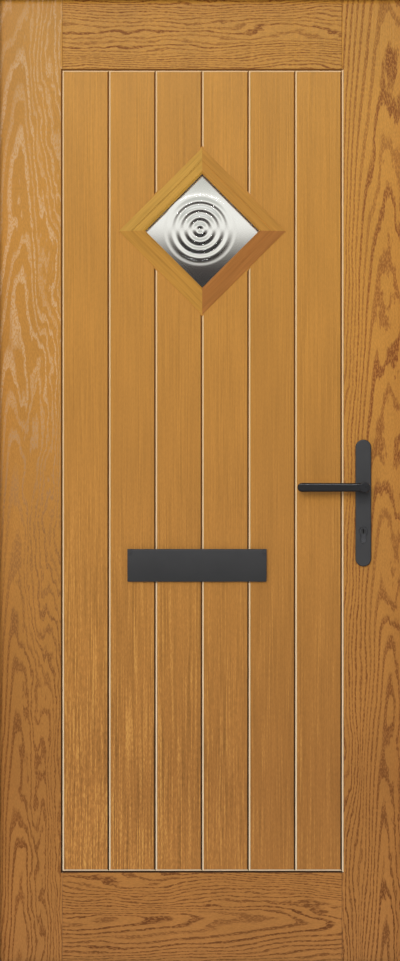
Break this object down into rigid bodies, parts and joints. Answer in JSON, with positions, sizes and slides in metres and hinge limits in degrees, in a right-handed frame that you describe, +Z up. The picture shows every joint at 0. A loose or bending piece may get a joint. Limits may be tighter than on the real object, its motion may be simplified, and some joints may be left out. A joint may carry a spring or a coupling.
{
  "type": "front door with frame",
  "caption": "Boarded oak-effect front door in its frame, with a diamond bullseye light, a letterplate, lever handles and a key-wound hook lock.",
  "frame": {"origin": "the middle of the threshold's underside", "axes": "+Z up, +Y through the door to the inside, +X to the right seen from outside, towards the lock jamb"},
  "size_m": [0.95, 0.1466, 2.095],
  "materials": {
    "frame_wood": "oak-effect foil over engineered timber",
    "edge_timber": "bare planed timber",
    "oak_skin": "woodgrain reinforced plastic, satin",
    "foam": "rigid foam",
    "black_metal": "satin black powder coat",
    "plated_steel": "zinc plated",
    "brass": "nickel plated brass",
    "black_plug": "blackened brass",
    "threshold_metal": "mill aluminium",
    "seal": "black rubber",
    "clear_glass": "clear",
    "black_plastic": "matt black",
    "spacer_plastic": "light grey, matt",
    "glazing_tape": "pale grey cellular tape"
  },
  "bodies": {
    "frame": {"hinge_jamb": "frame_wood", "lock_jamb": "frame_wood", "frame_head": "frame_wood", "frame_stops": "frame_wood", "threshold": "threshold_metal", "water_bar": "threshold_metal", "frame_gasket": "seal", "centre_keep": "plated_steel", "hook_keeps": "plated_steel", "keep_screws": "plated_steel", "frame_hinge_leaves": "black_metal", "hinge_pins": "plated_steel", "frame_hinge_screws": "plated_steel"},
    "leaf": {"outer_skin": "oak_skin", "inner_skin": "oak_skin", "foam_core": "foam", "hinge_stile": "edge_timber", "lock_stile": "edge_timber", "leaf_rails": "edge_timber", "lock_block": "edge_timber", "door_hinge_leaves": "black_metal", "hinge_bushes": "brass", "door_hinge_screws": "plated_steel", "outer_glazing_frame": "oak_skin", "inner_glazing_frame": "oak_skin", "glazing_tapes": "glazing_tape", "bullseye_pane": "clear_glass", "inner_pane": "clear_glass", "glass_spacer": "spacer_plastic", "glazing_screws": "plated_steel", "letterplate_frame": "black_metal", "letterplate_inner_frame": "black_metal", "letterplate_sleeve": "black_plastic", "letterplate_screws": "plated_steel", "outer_backplate": "black_metal", "inner_backplate": "black_metal", "handle_screws": "plated_steel", "cylinder_body": "brass", "cylinder_screw": "plated_steel", "lock_faceplate": "plated_steel", "faceplate_screws": "plated_steel", "lock_case": "plated_steel", "lock_case_cover": "plated_steel", "hook_cases": "plated_steel", "hook_pivots": "plated_steel"},
    "outer_flap": {"outer_flap": "black_metal"},
    "inner_flap": {"inner_flap": "black_metal"},
    "levers": {"outer_lever": "black_metal", "inner_lever": "black_metal", "spindle": "plated_steel", "follower": "plated_steel"},
    "latch": {"latch_bolt": "plated_steel"},
    "key_core": {"key_plug": "black_plug", "cylinder_cam": "plated_steel", "thumbturn": "black_metal"},
    "deadbolt": {"deadbolt": "plated_steel"},
    "upper_hook": {"upper_hook": "plated_steel"},
    "lower_hook": {"lower_hook": "plated_steel"},
    "upper_rod": {"upper_drive_rod": "plated_steel"},
    "lower_rod": {"lower_drive_rod": "plated_steel"}
  },
  "joints": [
    {"name": "leaf_swing", "type": "hinge", "parent": "frame", "child": "leaf", "pos_m": [-0.439, 0.0435, 1.04], "axis": [0, 0, 1], "range_deg": [0, 110]},
    {"name": "lever_turn", "type": "hinge", "parent": "leaf", "child": "levers", "pos_m": [0.338, 0.013, 1.0216], "axis": [0, -1, 0], "range_deg": [0, 35], "stiffness_Nm_per_rad": 1.5, "springref_deg": -28.65},
    {"name": "latch_slide", "type": "slide", "parent": "leaf", "child": "latch", "axis": [-1, 0, 0], "range_m": [0, 0.011]},
    {"name": "key_turn", "type": "hinge", "parent": "leaf", "child": "key_core", "pos_m": [0.338, 0.013, 0.9296], "axis": [0, 1, 0], "range_deg": [0, 360]},
    {"name": "deadbolt_slide", "type": "slide", "parent": "leaf", "child": "deadbolt", "axis": [1, 0, 0], "range_m": [0, 0.022]},
    {"name": "upper_hook_turn", "type": "hinge", "parent": "leaf", "child": "upper_hook", "pos_m": [0.415, 0.013, 1.671], "axis": [0, -1, 0], "range_deg": [0, 90]},
    {"name": "lower_hook_turn", "type": "hinge", "parent": "leaf", "child": "lower_hook", "pos_m": [0.415, 0.013, 0.4], "axis": [0, -1, 0], "range_deg": [0, 90]},
    {"name": "upper_rod_slide", "type": "slide", "parent": "leaf", "child": "upper_rod", "axis": [0, 0, 1], "range_m": [0, 0.018]},
    {"name": "lower_rod_slide", "type": "slide", "parent": "leaf", "child": "lower_rod", "axis": [0, 0, -1], "range_m": [0, 0.018]},
    {"name": "outer_flap_lift", "type": "hinge", "parent": "leaf", "child": "outer_flap", "pos_m": [-0.011, -0.0148, 0.88975], "axis": [-1, 0, 0], "range_deg": [0, 90], "stiffness_Nm_per_rad": 0.12, "springref_deg": -28.65},
    {"name": "inner_flap_lift", "type": "hinge", "parent": "leaf", "child": "inner_flap", "pos_m": [-0.011, 0.0408, 0.88975], "axis": [1, 0, 0], "range_deg": [0, 90], "stiffness_Nm_per_rad": 0.12, "springref_deg": -28.65}
  ],
  "couplings": [
    {"joint": "latch_slide", "follows": "lever_turn", "m_per_rad": 0.018},
    {"joint": "key_turn", "follows": "deadbolt_slide", "rad_per_m": 285.6},
    {"joint": "upper_hook_turn", "follows": "deadbolt_slide", "rad_per_m": 71.4},
    {"joint": "lower_hook_turn", "follows": "deadbolt_slide", "rad_per_m": 71.4},
    {"joint": "upper_rod_slide", "follows": "deadbolt_slide", "ratio": 0.81818},
    {"joint": "lower_rod_slide", "follows": "deadbolt_slide", "ratio": 0.81818}
  ]
}
